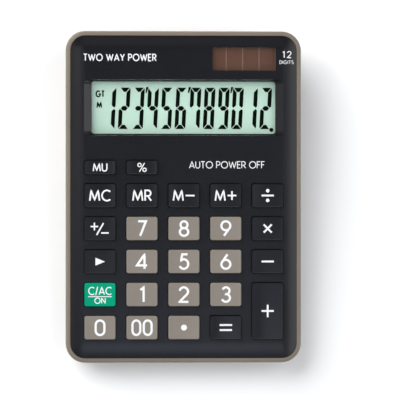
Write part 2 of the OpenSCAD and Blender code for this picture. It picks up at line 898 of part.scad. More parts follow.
module circuit_board() {
    board_l = board_rear_v - mat_front_v;
    color([0.25, 0.45, 0.2])
        on_face()
            difference() {
                translate([0, mat_front_v + board_l / 2, 0])
                    slab(2 * mat_half_w, board_l, rib_t, board_bottom, board_top);
                for (at = board_bosses())
                    translate([at[0], at[1], board_bottom - over])
                        cylinder(h = board_t + 2 * over, d = inner_screw_dia + 2 * pass_gap);
            }
}

// The drop of black resin over the calculator's chip, under the board
module chip_cover() {
    drop_r = 7;
    drop_h = 1.8;
    color([0.05, 0.05, 0.05])
        on_face()
            translate([0, row_v(2) + pitch_v / 2, board_bottom])
                rotate_extrude()
                    polygon(concat(
                        [[0, 0]],
                        [for (a = [0 : arc_step : 90]) [drop_r * cos(a), -drop_h * sin(a)]]
                    ));
}

// The small capacitor, lying on its side under the board
module storage_capacitor() {
    can_r = 2.5;
    can_l = 7.5;
    edge = 0.3;
    bead = 1.3;
    color([0.15, 0.2, 0.45])
        on_face()
            translate([-pitch_u, row_v(short_row - 1), board_bottom - can_r])
                rotate([0, 90, 0])
                    rotate_extrude()
                        polygon([
                            [0, 0], [can_r - edge, 0], [can_r, edge],
                            [can_r, can_l - bead], [can_r - edge, can_l - bead + edge],
                            [can_r, can_l - bead + 2 * edge], [can_r, can_l], [0, can_l]
                        ]);
}

// A self-cutting screw that points up, its head's seat at the origin
module screw(shank_dia, length, head_dia, head_h) {
    cross_w = head_dia / 6;
    cross_l = 0.6 * head_dia;
    cylinder(h = length - shank_dia / 2, d = shank_dia);
    translate([0, 0, length - shank_dia / 2])
        cylinder(h = shank_dia / 2, d1 = shank_dia, d2 = shank_dia / 3);
    difference() {
        translate([0, 0, -head_h])
            cylinder(h = head_h, d1 = 0.8 * head_dia, d2 = head_dia);
        for (turn = [0, 90])
            rotate(turn)
                translate([-cross_l / 2, -cross_w / 2, -head_h - over])
                    cube([cross_l, cross_w, over + 0.6 * head_h]);
    }
}

module inner_screws() {
    color([0.75, 0.75, 0.78])
        on_face() {
            for (at = board_bosses())
                translate([at[0], at[1], board_bottom])
                    screw(inner_screw_dia, inner_screw_l, inner_head_dia, inner_head_h);
            retainer_ears()
                translate([0, 0, retainer_front - retainer_t])
                    screw(inner_screw_dia, inner_screw_l, inner_head_dia, inner_head_h);
        }
}

module case_screws() {
    color([0.3, 0.3, 0.32])
        for (at = case_screws_at)
            translate([at[0], at[1], face_height(at[1]) - case_boss_l - slack - seat_t])
                screw(case_screw_dia, case_screw_l, case_head_dia, case_head_h);
}

module battery_cell() {
    step_h = 0.3;
    step_w = 1.1;
    color([0.8, 0.8, 0.82])
        translate([0, cell_y, cell_bottom]) {
            cylinder(h = cell_h - step_h, d = cell_dia);
            cylinder(h = cell_h, d = cell_dia - 2 * step_w);
        }
}

// The leaf that rests on the cell's side
module battery_contact_positive() {
    reach = cell_dia / 2 + contact_t / 2;
    lift = 0.4;
    color([0.85, 0.8, 0.6])
        translate([0, cell_y, 0])
            rotate([90, 0, 0])
                bent_strip(
                    [
                        [positive_x, positive_top],
                        [positive_x, well_top + contact_t],
                        [reach, well_top + contact_t + lift]
                    ],
                    contact_t, contact_w
                );
}

// The leaf that rests on the cell's cap, through the slot in the cup's roof
module battery_contact_negative() {
    knee = cap_slot_rear - contact_t - pass_gap;
    touch = 0.2;
    tip = -1.6;
    tip_lift = 0.8;
    color([0.85, 0.8, 0.6])
        translate([0, cell_y, 0])
            rotate([90, 0, 90])
                bent_strip(
                    [
                        [negative_tail, negative_z],
                        [knee, negative_z],
                        [touch, cell_top + contact_t / 2],
                        [tip, cell_top + tip_lift]
                    ],
                    contact_t, contact_w
                );
}

module battery_leads() {
    joint_v = board_rear_v - lead_joint_in;
    for (x = [-1, 1]) {
        start = x > 0
            ? [positive_x, cell_y, positive_top + thin]
            : [0, cell_y + negative_tail - lead_dia, negative_z + contact_t / 2 + thin];
        color(x > 0 ? [0.75, 0.12, 0.1] : [0.1, 0.1, 0.1])
            lead([
                start,
                start + [0, 0, lead_run],
                face_point(x * lead_joint_u, joint_v, board_bottom - lead_run),
                face_point(x * lead_joint_u, joint_v, board_bottom - thin)
            ]);
    }
}

// A plain cover that slides out to the rear, held up by a tongue along each side
module battery_door() {
    rear = half_l - door_front_y;
    color([0.46, 0.42, 0.39])
        difference() {
            intersection() {
                tray_outside();
                union() {
                    translate([-door_w / 2, door_front_y, base_z - over])
                        cube([door_w, rear, over + door_t]);
                    translate([-door_w / 2 - tongue_w, door_front_y, door_top - tongue_t])
                        cube([door_w + 2 * tongue_w, rear, tongue_t]);
                }
            }
            for (i = [0 : grip_count - 1])
                translate([-door_w / 4, cell_y + grip_start + i * grip_pitch, base_z - over])
                    cube([door_w / 2, grip_pitch / 2, over + grip_d]);
        }
}

module foot(side, end) {
    bevel = 0.4;
    top = base_z + foot_seat;
    color([0.1, 0.1, 0.1])
        translate([side * foot_x, end * foot_y, 0])
            rotate_extrude()
                polygon([
                    [0, 0], [foot_dia / 2 - bevel, 0], [foot_dia / 2, bevel],
                    [foot_dia / 2, top], [0, top]
                ]);
}

for (k = keys)
    key_button(k);
upper_casing();
lower_casing();
display_window();
lcd_front_polariser();
lcd_front_glass();
lcd_rear_glass();
lcd_reflector();
lcd_retainer();
lcd_ribbon();
solar_window();
solar_cell();
solar_leads();
key_mat();
circuit_board();
chip_cover();
storage_capacitor();
inner_screws();
case_screws();
battery_cell();
battery_contact_positive();
battery_contact_negative();
battery_leads();
battery_door();
foot(-1, -1);  // foot_front_left
foot(1, -1);  // foot_front_right
foot(-1, 1);  // foot_rear_left
foot(1, 1);  // foot_rear_right
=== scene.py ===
"""Compact calculator: the looks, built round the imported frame. Lengths are in metres."""

import json
import math

import bmesh
import bpy
from mathutils import Matrix, Vector


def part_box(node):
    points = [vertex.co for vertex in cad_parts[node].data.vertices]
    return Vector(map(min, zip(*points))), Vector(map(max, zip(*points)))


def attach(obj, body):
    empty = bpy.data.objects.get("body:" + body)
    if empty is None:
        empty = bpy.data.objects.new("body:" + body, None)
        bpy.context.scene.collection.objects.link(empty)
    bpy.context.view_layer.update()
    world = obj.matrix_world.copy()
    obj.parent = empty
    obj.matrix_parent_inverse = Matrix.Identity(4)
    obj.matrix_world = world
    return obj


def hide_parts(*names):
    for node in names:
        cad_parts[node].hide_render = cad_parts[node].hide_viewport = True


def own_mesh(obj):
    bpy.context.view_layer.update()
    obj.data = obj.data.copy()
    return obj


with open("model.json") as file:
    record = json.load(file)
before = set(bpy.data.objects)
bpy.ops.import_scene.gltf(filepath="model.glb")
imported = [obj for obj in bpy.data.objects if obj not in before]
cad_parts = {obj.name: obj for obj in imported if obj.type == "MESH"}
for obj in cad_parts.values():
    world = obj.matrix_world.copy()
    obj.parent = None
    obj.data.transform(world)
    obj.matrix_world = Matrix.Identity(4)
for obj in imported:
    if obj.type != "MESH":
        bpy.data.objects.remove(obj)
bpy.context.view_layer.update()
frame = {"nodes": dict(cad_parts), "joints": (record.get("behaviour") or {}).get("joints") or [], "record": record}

# ---------------------------------------------------------------------------------------
# The sloping face. Nearly every piece is laid out on it, so it has a frame of its own:
# u to the right, v up the slope towards the display, w out of the face.
mm = 0.001
press_axis = next(Vector(j["axis"]) for j in frame["joints"] if j["name"] == "key_5_press")
w_axis = -press_axis.normalized()
u_axis = Vector((1, 0, 0))
v_axis = w_axis.cross(u_axis)
face_turn = Matrix((u_axis, v_axis, w_axis)).transposed().to_4x4()


def span(node):
    """Lowest and highest corners of a CAD node, measured along the face's own axes."""
    points = [face_turn.inverted() @ v.co for v in frame["nodes"][node].data.vertices]
    low = Vector([min(p[i] for p in points) for i in range(3)])
    high = Vector([max(p[i] for p in points) for i in range(3)])
    return low, high


panel_low, panel_high = span("upper_casing")
face_origin = Vector((0, (panel_low.y + panel_high.y) / 2, panel_high.z))
laid = face_turn @ Matrix.Translation(face_origin)


def face_span(node):
    """A CAD node's corners in the face's frame, so that w = 0 is the face itself."""
    low, high = span(node)
    return low - face_origin, high - face_origin


# ---------------------------------------------------------------------------------------
# The stage: a plain white table, and a camera that looks almost straight down at the face
# through a long lens. Big soft boxes stand round the table, and small dim cards hang
# beside the lens. The strongest box, at the rear left, leaves no glare.
camera_height = 1.5
camera_lean = math.radians(3)
view_width = 174.7 * mm
view_centre = Vector((7.1 * mm, -1.35 * mm, 0))
sensor = 36
camera_reach = 10

camera_data = bpy.data.cameras.new("camera")
camera_data.sensor_width = sensor
camera_data.lens = sensor * camera_height / view_width
camera_data.clip_end = camera_reach
camera = bpy.data.objects.new("camera", camera_data)
camera.matrix_world = (
    laid @ Matrix.Translation(view_centre) @ Matrix.Rotation(-camera_lean, 4, "Y")
    @ Matrix.Translation((0, 0, camera_height))
)
bpy.context.scene.collection.objects.link(camera)
bpy.context.scene.camera = camera
bpy.context.scene.view_settings.view_transform = "Standard"

table_w = 6
table_gap = 0.2 * mm
bpy.ops.mesh.primitive_plane_add(size=table_w, location=(0, 0, -table_gap))
table = bpy.context.object
table.name = "table"
table_paint = bpy.data.materials.new("table_paint")
table_paint.use_nodes = True
table.data.materials.append(table_paint)
table_tree = table_paint.node_tree
paint = table_tree.nodes["Principled BSDF"]
paint.inputs["Base Color"].default_value = (0.93, 0.93, 0.93, 1)
paint.inputs["Roughness"].default_value = 0.9
paint.inputs["Specular IOR Level"].default_value = 0.1
# From below, the table is clear, and light passes it, so that the base can be seen
clear_paint = table_tree.nodes.new("ShaderNodeBsdfTransparent")
side = table_tree.nodes.new("ShaderNodeNewGeometry")
ray = table_tree.nodes.new("ShaderNodeLightPath")
is_clear = table_tree.nodes.new("ShaderNodeMath")
is_clear.operation = "MAXIMUM"
either = table_tree.nodes.new("ShaderNodeMixShader")
table_tree.links.new(side.outputs["Backfacing"], is_clear.inputs[0])
table_tree.links.new(ray.outputs["Is Shadow Ray"], is_clear.inputs[1])
table_tree.links.new(is_clear.outputs[0], either.inputs[0])
table_tree.links.new(paint.outputs[0], either.inputs[1])
table_tree.links.new(clear_paint.outputs[0], either.inputs[2])
table_tree.links.new(either.outputs[0], table_tree.nodes["Material Output"].inputs["Surface"])


def soft_box(name, at, size, power, tint=(1, 1, 1), glare=True):
    """A square area light that faces the object, and may leave no reflection of itself."""
    lamp = bpy.data.lights.new(name, "AREA")
    lamp.size = size
    lamp.energy = power
    lamp.color = tint
    holder = bpy.data.objects.new(name, lamp)
    holder.location = at
    holder.visible_glossy = glare
    holder.visible_transmission = glare
    holder.rotation_euler = (-Vector(at)).to_track_quat("-Z", "Y").to_euler()
    bpy.context.scene.collection.objects.link(holder)


soft_box("box_rear_left", (-1.0, 1.0, 1.0), 1.8, 46, glare=False)
soft_box("box_right", (1.25, -0.1, 1.0), 1.9, 17, (0.97, 0.98, 1))
soft_box("box_left", (-1.25, -0.1, 0.95), 1.8, 6)
soft_box("box_front", (0.1, -1.35, 0.8), 1.1, 6, (0.93, 0.96, 1))
soft_box("box_below", (0.2, -0.3, -1.3), 1.2, 13)
soft_box("card_right", (0.42, 0, 1.65), 0.36, 0.25, (0.75, 0.82, 1))
soft_box("card_front", (0, -0.55, 1.65), 0.55, 1.35, (0.72, 0.82, 1))
soft_box("card_left", (-0.42, 0, 1.65), 0.36, 0.5, (0.95, 0.95, 1))
soft_box("card_rear", (0, 0.5, 1.65), 0.36, 0.24, (0.9, 0.92, 1))

surround = bpy.data.worlds.new("surround")
surround.use_nodes = True
surround.node_tree.nodes["Background"].inputs["Color"].default_value = (1, 1, 1, 1)
surround.node_tree.nodes["Background"].inputs["Strength"].default_value = 0.05
bpy.context.scene.world = surround


# ---------------------------------------------------------------------------------------
# The two casings: a near-black keyboard casing let into a taupe tray, both moulded in ABS
# with a fine spark-eroded grain. Four screws come up from the base and hold them together.
polish = 0.03
sharp = math.radians(40)
smooth = math.radians(30)
flat = math.radians(0.5)
same_point = 0.002 * mm
upper_edge = 0.07 * mm
lower_edge = 0.15 * mm
slots = {s["node"]: s["material_slot"] for s in frame["record"]["subparts"]}


def new_group(name, inputs, outputs):
    """A node group with named sockets: each is (name, kind) or (name, kind, default)."""
    tree = bpy.data.node_groups.new(name, "ShaderNodeTree")
    for socket in inputs:
        made = tree.interface.new_socket(
            socket[0], in_out="INPUT", socket_type="NodeSocket" + socket[1]
        )
        if len(socket) > 2:
            made.default_value = socket[2]
    for label, kind in outputs:
        tree.interface.new_socket(label, in_out="OUTPUT", socket_type="NodeSocket" + kind)
    return tree, tree.nodes.new("NodeGroupInput"), tree.nodes.new("NodeGroupOutput")


def add_node(tree, kind, links=None, **values):
    """Adds a node, sets its properties or inputs, and links its inputs by name."""
    made = tree.nodes.new("ShaderNode" + kind)
    for key, value in values.items():
        setattr(made, key, value)
    for key, value in (links or {}).items():
        if isinstance(value, bpy.types.NodeSocket):
            tree.links.new(value, made.inputs[key])
        else:
            made.inputs[key].default_value = value
    return made


# The grain that all moulded pieces share: a fine height, a slow tone, and handling marks
grain, grain_in, grain_out = new_group(
    "moulded_grain",
    [("Vector", "Vector"), ("Grain Scale", "Float", 2600.0), ("Tone Scale", "Float", 40.0)],
    [("Height", "Float"), ("Tone", "Float"), ("Marks", "Float")],
)
fine = add_node(grain, "TexNoise", {
    "Vector": grain_in.outputs["Vector"], "Scale": grain_in.outputs["Grain Scale"],
    "Detail": 3.0, "Roughness": 0.6,
})
pits = add_node(grain, "TexVoronoi", {
    "Vector": grain_in.outputs["Vector"], "Scale": grain_in.outputs["Grain Scale"],
})
height = add_node(grain, "Math", {0: fine.outputs[0], 1: pits.outputs["Distance"]})
slow = add_node(grain, "TexNoise", {
    "Vector": grain_in.outputs["Vector"], "Scale": grain_in.outputs["Tone Scale"],
    "Detail": 4.0, "Roughness": 0.55,
})
speck = add_node(grain, "Math", {0: fine.outputs[0], 1: slow.outputs[0]}, operation="ADD")
halved = add_node(grain, "Math", {0: speck.outputs[0], 1: 0.5}, operation="MULTIPLY")
smear = add_node(grain, "TexNoise", {
    "Vector": grain_in.outputs["Vector"], "Scale": 90.0, "Detail": 6.0,
    "Roughness": 0.7, "Distortion": 1.5,
})
marks = add_node(grain, "MapRange", {
    "Value": smear.outputs[0], "From Min": 0.45, "From Max": 0.75,
})
grain.links.new(height.outputs[0], grain_out.inputs["Height"])
grain.links.new(halved.outputs[0], grain_out.inputs["Tone"])
grain.links.new(marks.outputs[0], grain_out.inputs["Marks"])


def new_material(name, roughness):
    """A Principled material, its node tree, its shader, and its Object coordinates."""
    made = bpy.data.materials.new(name)
    made.use_nodes = True
    shader = made.node_tree.nodes["Principled BSDF"]
    shader.inputs["Roughness"].default_value = roughness
    where = made.node_tree.nodes.new("ShaderNodeTexCoord")
    return made, made.node_tree, shader, where.outputs["Object"]


def tones(tree, mix, first, last, start=0.0, stop=1.0):
    """A colour that runs from the first to the last, as the mix goes from start to stop."""
    ramp = add_node(tree, "ValToRGB", {"Fac": mix})
    ends = ramp.color_ramp.elements
    ends[0].position = start
    ends[0].color = (*first, 1)
    ends[1].position = stop
    ends[1].color = (*last, 1)
    return ramp.outputs["Color"]


def moulded(name, dark, light, roughness, depth=0.02, grain_scale=2600.0, tone_scale=40.0):
    """Moulded plastic or rubber: its tone drifts between two colours over the grain."""
    made, tree, shader, where = new_material(name, roughness)
    surface = add_node(tree, "Group", {
        "Vector": where, "Grain Scale": grain_scale, "Tone Scale": tone_scale,
    }, node_tree=grain)
    rough = add_node(tree, "MapRange", {
        "Value": surface.outputs["Marks"], "To Min": roughness, "To Max": roughness - polish,
    })
    bump = add_node(tree, "Bump", {
        "Height": surface.outputs["Height"], "Strength": 0.35, "Distance": depth * mm,
    })
    colour = tones(tree, surface.outputs["Tone"], dark, light, 0.35, 0.65)
    tree.links.new(colour, shader.inputs["Base Color"])
    tree.links.new(rough.outputs[0], shader.inputs["Roughness"])
    tree.links.new(bump.outputs["Normal"], shader.inputs["Normal"])
    return made


def only(piece):
    """Makes a piece the only one that the next operator acts on."""
    if bpy.context.mode != "OBJECT":
        bpy.ops.object.mode_set(mode="OBJECT")
    bpy.ops.object.select_all(action="DESELECT")
    piece.select_set(True)
    bpy.context.view_layer.objects.active = piece


def soften(piece, width):
    """Rounds a piece's sharp edges a little, and shades the rest smooth."""
    only(piece)
    if width:
        bevel = piece.modifiers.new("soft edges", "BEVEL")
        bevel.width = width
        bevel.segments = 2
        bevel.limit_method = "ANGLE"
        bevel.angle_limit = sharp
        bevel.use_clamp_overlap = True
        bpy.ops.object.modifier_apply(modifier=bevel.name)
    bpy.ops.object.shade_smooth_by_angle(angle=smooth)
    # Flat faces keep their own direction, and the narrow edges turn between them
    weighted = piece.modifiers.new("flat faces", "WEIGHTED_NORMAL")
    weighted.keep_sharp = True
    weighted.weight = 100
    bpy.ops.object.modifier_apply(modifier=weighted.name)


def joined(name, node, material):
    """A copy of a CAD node with its loose triangles joined, left open in edit mode."""
    piece = bpy.data.objects.new(name, frame["nodes"][node].data.copy())
    bpy.context.scene.collection.objects.link(piece)
    piece.data.materials.clear()
    piece.data.materials.append(material)
    only(piece)
    if piece.data.has_custom_normals:
        bpy.ops.mesh.customdata_custom_splitnormals_clear()
    bpy.ops.object.mode_set(mode="EDIT")
    bpy.ops.mesh.select_all(action="SELECT")
    bpy.ops.mesh.remove_doubles(threshold=same_point)
    return piece


def finished(node, material, body, edge):
    """Stands a copy with soft edges in for a CAD node."""
    piece = joined(node + "_finished", node, material)
    bpy.ops.mesh.dissolve_limited(angle_limit=flat)
    bpy.ops.object.mode_set(mode="OBJECT")
    soften(piece, edge)
    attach(piece, body)
    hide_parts(node)


def dress(node, material):
    """Gives a carried-over CAD node its finish."""
    finish = frame["nodes"][node].data.materials
    finish.clear()
    finish.append(material)


black_abs = moulded("black_abs", (0.0055, 0.0055, 0.0072), (0.0075, 0.0075, 0.0096), 0.25)
taupe_abs = moulded("taupe_abs", (0.176, 0.147, 0.112), (0.204, 0.17, 0.131), 0.42)
finished("upper_casing", black_abs, "casing", upper_edge)
finished("lower_casing", taupe_abs, "casing", lower_edge)

# ---------------------------------------------------------------------------------------
# The display's layers: a clear acrylic window behind the sloping recess, a pale green
# polariser, two display glasses, and a reflector film that closes the stack at the back.
glass_lap = 2 * mm
film_grain = 9000.0
film_tone = 25.0
window_low, window_high = face_span("display_window")
display_centre = (window_low + window_high) / 2
display_left = window_low.x + glass_lap
film_top = face_span("lcd_front_polariser")[1].z


def clear_sheet(name, tint, clean, scuffed):
    """A clear sheet with faint scuffs. Light on its way to a surface isn't bent by it."""
    made, tree, shader, where = new_material(name, clean)
    shader.inputs["Base Color"].default_value = (*tint, 1)
    shader.inputs["Transmission Weight"].default_value = 1
    shader.inputs["IOR"].default_value = 1.49
    surface = add_node(tree, "Group", {"Vector": where}, node_tree=grain)
    rough = add_node(tree, "MapRange", {
        "Value": surface.outputs["Marks"], "To Min": clean, "To Max": scuffed,
    })
    tree.links.new(rough.outputs[0], shader.inputs["Roughness"])
    through = add_node(tree, "BsdfTransparent", {"Color": (*tint, 1)})
    path = add_node(tree, "LightPath")
    both = add_node(tree, "MixShader", {
        0: path.outputs["Is Shadow Ray"], 1: shader.outputs[0], 2: through.outputs[0],
    })
    tree.links.new(both.outputs[0], tree.nodes["Material Output"].inputs["Surface"])
    return made


window_acrylic = clear_sheet("window_acrylic", (0.98, 0.99, 0.985), 0.02, 0.06)
display_glass = clear_sheet("display_glass", (0.9, 0.96, 0.93), 0.02, 0.05)
film_green = moulded("film_green", (0.5, 0.67, 0.565), (0.53, 0.71, 0.595), 0.45, 0.001,
                     film_grain, film_tone)
film_back = moulded("film_back", (0.5, 0.62, 0.55), (0.55, 0.66, 0.6), 0.35, 0.001,
                    film_grain, film_tone)
dress("display_window", window_acrylic)
dress("lcd_front_polariser", film_green)
dress("lcd_front_glass", display_glass)
dress("lcd_rear_glass", display_glass)
dress("lcd_reflector", film_back)

# ---------------------------------------------------------------------------------------
# What the display shows. The liquid crystal turns dark between etched electrodes: twelve
# slanted digits of seven bars, with a comma mark after each three, and a decimal point.
digit_height = 18.1 * mm
digit_width = 4.76 * mm
digit_pitch = 6.2 * mm
first_digit = -32.1 * mm
digit_drop = 0.25 * mm
digit_slant = math.radians(2.9)
bar = 1.7 * mm
crystal_low = 0.03 * mm
crystal_high = 0.05 * mm
comma_shift = 0.6 * mm
comma_rise = 0.3 * mm
comma_l = 2.6 * mm
comma_shape = [(0.8 * mm, 0), (-0.3 * mm, 0), (-0.65 * mm, -comma_l), (-0.1 * mm, -comma_l)]
point_gap = 0.1 * mm
point_drop = 0.3 * mm
point_r = 0.9 * mm
shown = "123456789012"


def add_plate(shapes, outline, surface, bottom, top):
    """Adds a thin flat plate with this outline, laid on a surface."""
    rings = [
        [shapes.verts.new((x, y, surface(x, y) + height)) for x, y in outline]
        for height in (bottom, top)
    ]
    shapes.faces.new(rings[0])
    shapes.faces.new(rings[1])
    for i in range(len(outline)):
        following = (i + 1) % len(outline)
        shapes.faces.new((rings[0][i], rings[0][following], rings[1][following], rings[1][i]))


def laid_on_face(name, shapes, material, body):
    """Makes a piece of shapes drawn in the face's frame, and lays it on the face."""
    bmesh.ops.recalc_face_normals(shapes, faces=shapes.faces)
    mesh = bpy.data.meshes.new(name)
    shapes.to_mesh(mesh)
    shapes.free()
    mesh.transform(laid)
    mesh.materials.append(material)
    piece = bpy.data.objects.new(name, mesh)
    bpy.context.scene.collection.objects.link(piece)
    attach(piece, body)
    return piece


def flipped(outline, across, along):
    """An outline mirrored across the digit's middle, along it, or both."""
    return [(x * across, y * along) for x, y in outline]


def digit_bars(width, height, thick):
    """The seven bars of a digit round its middle, keyed by their usual letters."""
    x, y = width / 2, height / 2
    gap = 0.15 * thick
    inner = x - thick
    top = [(0.25 * thick - x, y), (x - 0.25 * thick, y), (inner - gap / 2, y - 1.1 * thick),
           (gap / 2 - inner, y - 1.1 * thick)]
    side = [(x - 0.1 * thick, y - gap), (x, y - 0.6 * thick), (x, 0.55 * thick),
            (x - 0.35 * thick, gap), (inner, 0.78 * thick), (inner, y - 1.25 * thick)]
    middle = [(-0.7 * thick - inner / 2, 0), (-inner, 0.6 * thick), (inner, 0.6 * thick),
              (0.7 * thick + inner / 2, 0), (inner, -0.6 * thick), (-inner, -0.6 * thick)]
    return {
        "a": top, "b": side, "c": flipped(side, 1, -1), "d": flipped(top, 1, -1),
        "e": flipped(side, -1, -1), "f": flipped(side, -1, 1), "g": middle,
    }


def film_level(x, y):
    """The height of the polariser's front, where the display's marks lie."""
    return film_top


def round_outline(x, y, radius, steps=20):
    """A round outline of a few sides."""
    turns = [2 * math.pi * i / steps for i in range(steps)]
    return [(x + radius * math.cos(t), y + radius * math.sin(t)) for t in turns]


lit = {
    "0": "abcdef", "1": "bc", "2": "abged", "3": "abgcd", "4": "fgbc", "5": "afgcd",
    "6": "afgecd", "7": "fabc", "8": "abcdefg", "9": "abcdfg",
}
bars = digit_bars(digit_width, digit_height, bar)
crystal = bmesh.new()
for place, digit in enumerate(shown):
    middle = first_digit + place * digit_pitch
    for letter in lit[digit]:
        outline = [
            (middle + x + y * math.tan(digit_slant), display_centre.y - digit_drop + y)
            for x, y in bars[letter]
        ]
        add_plate(crystal, outline, film_level, crystal_low, crystal_high)
comma_top = display_centre.y - digit_drop + digit_height / 2 + comma_rise
for place in (2, 5, 8):
    comma = first_digit + (place + 0.5) * digit_pitch + comma_shift
    outline = [(comma + x, comma_top + y) for x, y in comma_shape]
    add_plate(crystal, outline, film_level, crystal_low, crystal_high)
last_digit = first_digit + (len(shown) - 1) * digit_pitch
point_u = last_digit + digit_width / 2 + point_gap
point_v = display_centre.y - digit_drop - digit_height / 2 - point_drop
point = round_outline(point_u, point_v, point_r)
add_plate(crystal, point, film_level, crystal_low, crystal_high)
crystal_black = moulded(
    "crystal_black", (0.0, 0.002, 0.0), (0.0002, 0.003, 0.0006), 0.4, 0.001, film_grain, film_tone
)
crystal_black.node_tree.nodes["Principled BSDF"].inputs["Specular IOR Level"].default_value = 0
digits = laid_on_face("display_digits", crystal, crystal_black, "casing")

# ---------------------------------------------------------------------------------------
# The printing: white two-part ink, screened on in strokes of one even width. A letter is
# a list of strokes in a box one high, and a stroke is points and arcs. An arc holds its
# middle, its two radii, and the angles where it starts and ends.
closed = "closed"
letters = {
    "0": [[("arc", 0.3, 0.7, 0.3, 0.3, 0, 180), ("arc", 0.3, 0.3, 0.3, 0.3, 180, 360),
           closed]],
    "1": [[(0.0, 0.82), (0.22, 1.0), (0.22, 0.0)]],
    "2": [[("arc", 0.3, 0.71, 0.29, 0.29, 170, -38), (0.0, 0.0), (0.62, 0.0)]],
    "3": [[("arc", 0.29, 0.76, 0.24, 0.24, 160, -90), ("arc", 0.28, 0.27, 0.28, 0.27, 85, -160)]],
    "4": [[(0.52, 0.0), (0.52, 1.0), (0.0, 0.24), (0.7, 0.24)]],
    "5": [[(0.54, 1.0), (0.18, 1.0), (0.08, 0.54), ("arc", 0.28, 0.33, 0.31, 0.33, 110, -155)]],
    "6": [[("arc", 0.31, 0.31, 0.31, 0.31, 0, 360), closed], [(0.42, 1.0), (0.04, 0.45)]],
    "7": [[(0.0, 1.0), (0.54, 1.0), (0.14, 0.0)]],
    "8": [[("arc", 0.3, 0.76, 0.24, 0.24, 0, 360), closed],
          [("arc", 0.3, 0.27, 0.29, 0.27, 0, 360), closed]],
    "9": [[("arc", 0.31, 0.69, 0.31, 0.31, 0, 360), closed], [(0.18, 0.0), (0.57, 0.54)]],
    "A": [[(0.0, 0.0), (0.38, 1.0), (0.76, 0.0)], [(0.13, 0.3), (0.63, 0.3)]],
    "C": [[("arc", 0.48, 0.5, 0.48, 0.5, 48, 312)]],
    "D": [[(0.0, 0.0), (0.0, 1.0), ("arc", 0.2, 0.5, 0.46, 0.5, 85, -85), (0.0, 0.0)]],
    "E": [[(0.46, 1.0), (0.0, 1.0), (0.0, 0.0), (0.46, 0.0)], [(0.0, 0.52), (0.42, 0.52)]],
    "F": [[(0.46, 1.0), (0.0, 1.0), (0.0, 0.0)], [(0.0, 0.52), (0.4, 0.52)]],
    "G": [[("arc", 0.48, 0.5, 0.48, 0.5, 45, 355), (0.55, 0.46)]],
    "I": [[(0.0, 0.0), (0.0, 1.0)]],
    "M": [[(0.0, 0.0), (0.13, 1.0), (0.47, 0.08), (0.81, 1.0), (0.94, 0.0)]],
    "N": [[(0.0, 0.0), (0.0, 1.0), (0.66, 0.0), (0.66, 1.0)]],
    "O": [[("arc", 0.49, 0.5, 0.49, 0.5, 0, 360), closed]],
    "P": [[(0.0, 0.0), (0.0, 1.0), ("arc", 0.28, 0.73, 0.26, 0.27, 85, -85), (0.0, 0.46)]],
    "R": [[(0.0, 0.0), (0.0, 1.0), ("arc", 0.28, 0.73, 0.26, 0.27, 85, -85), (0.0, 0.46)],
          [(0.26, 0.46), (0.58, 0.0)]],
    "S": [[("arc", 0.27, 0.75, 0.24, 0.25, 35, 255), ("arc", 0.27, 0.25, 0.27, 0.25, 75, -145)]],
    "T": [[(0.0, 1.0), (0.58, 1.0)], [(0.29, 1.0), (0.29, 0.0)]],
    "U": [[(0.0, 1.0), ("arc", 0.31, 0.31, 0.31, 0.31, 180, 360), (0.62, 1.0)]],
    "W": [[(0.0, 1.0), (0.29, 0.0), (0.55, 0.95), (0.81, 0.0), (1.1, 1.0)]],
    "Y": [[(0.0, 1.0), (0.33, 0.45), (0.66, 1.0)], [(0.33, 0.45), (0.33, 0.0)]],
    "/": [[(0.0, -0.08), (0.3, 1.08)]],
    "+": [[(0.0, 0.5), (0.86, 0.5)], [(0.43, 0.07), (0.43, 0.93)]],
    "-": [[(0.0, 0.5), (0.86, 0.5)]],
    "%": [[("arc", 0.2, 0.78, 0.2, 0.2, 0, 360), closed],
          [("arc", 0.8, 0.2, 0.2, 0.2, 0, 360), closed], [(0.2, -0.02), (0.8, 1.02)]],
    " ": [[(0.0, 0.0), (0.2, 0.0)]],
}
arc_step = 15
same_place = 0.015
mitre_limit = 0.9
letter_gap = 0.15
longest_run = 0.8 * mm
ink_t = 0.03 * mm
ink_root = 0.05 * mm
ink_step = 0.002 * mm


def drawn(stroke):
    """A stroke's points, with its arcs worked out, and whether it closes on itself."""
    points = []
    for item in stroke:
        if item == closed:
            continue
        if item[0] == "arc":
            _, x, y, wide, high, start, end = item
            steps = max(2, round(abs(end - start) / arc_step))
            turns = [math.radians(start + (end - start) * i / steps) for i in range(steps + 1)]
            points += [Vector((x + wide * math.cos(t), y + high * math.sin(t))) for t in turns]
        else:
            points.append(Vector(item))
    loops = closed in stroke
    if loops and (points[0] - points[-1]).length < same_place:
        points.pop()
    return points, loops


def divided(points, loops):
    """The same run of points with none of its straight runs too long to bend."""
    out = []
    for i, point in enumerate(points):
        out.append(point)
        if i + 1 < len(points) or loops:
            following = points[(i + 1) % len(points)]
            count = math.ceil((following - point).length / longest_run)
            out += [point.lerp(following, k / count) for k in range(1, count)]
    return out


def add_stroke(shapes, points, loops, width, surface, top):
    """Adds a stroke of ink of one width, with square ends, that follows a surface."""
    points = divided(points, loops)
    rows = []
    for i, point in enumerate(points):
        runs = []
        if i or loops:
            runs.append((point - points[i - 1]).normalized())
        if i + 1 < len(points) or loops:
            runs.append((points[(i + 1) % len(points)] - point).normalized())
        across = sum((Vector((-run.y, run.x)) for run in runs), Vector((0, 0)))
        across *= len(runs) / max(across.length_squared, mitre_limit) * width / 2
        places = [point + across, point - across]
        rows.append([
            shapes.verts.new((p.x, p.y, surface(p.x, p.y) + height))
            for p, height in zip(places + places[::-1], (-ink_root, -ink_root, top, top))
        ])
    for i in range(len(rows) - (0 if loops else 1)):
        here, there = rows[i], rows[(i + 1) % len(rows)]
        for k in range(4):
            shapes.faces.new((here[k], here[(k + 1) % 4], there[(k + 1) % 4], there[k]))
    if not loops:
        shapes.faces.new(rows[0])
        shapes.faces.new(rows[-1])


